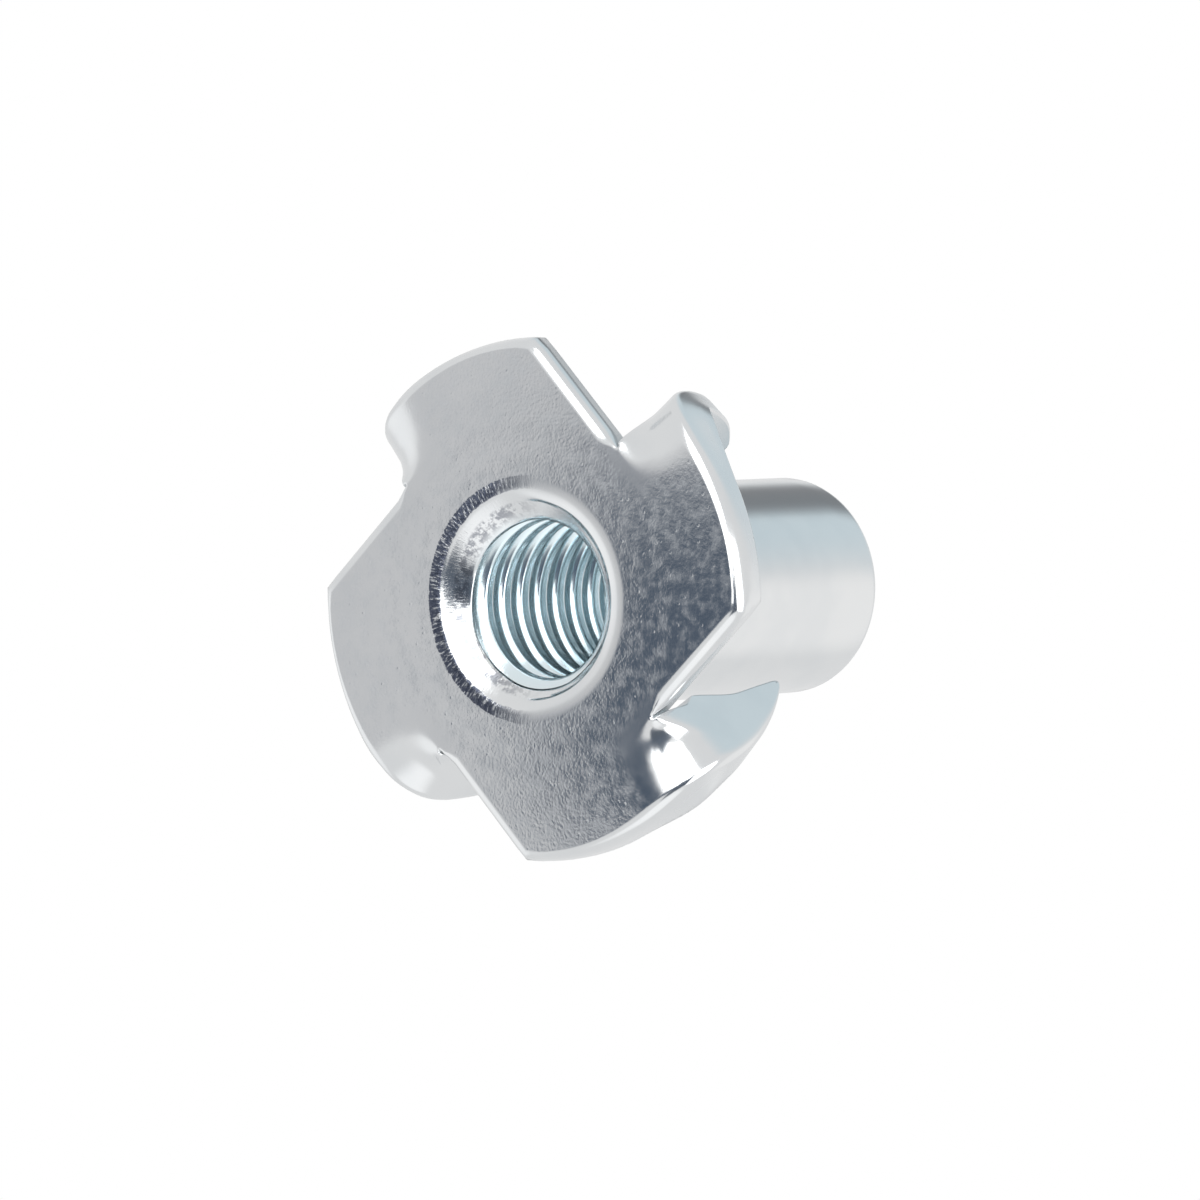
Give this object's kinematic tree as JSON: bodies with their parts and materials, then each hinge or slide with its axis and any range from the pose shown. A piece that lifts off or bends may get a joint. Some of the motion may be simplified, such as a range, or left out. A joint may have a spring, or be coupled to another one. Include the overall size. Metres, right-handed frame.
{
  "type": "tee nut",
  "caption": "Pronged tee nut: a pinwheel flange with bent-back prongs and a drawn, internally threaded barrel, to give wood panels a metal thread.",
  "frame": {"origin": "centre of the flange's outer face, on the thread's axis", "axes": "+Z along the thread's axis, from the flange toward the barrel's open end; the four folds lie at 45 degrees to +X and +Y"},
  "size_m": [0.022, 0.022, 0.0192],
  "materials": {
    "zinc_plate": "bright zinc plating with a faint blue cast, satin to bright"
  },
  "bodies": {
    "root": {"tee_nut": "zinc_plate"}
  },
  "joints": []
}
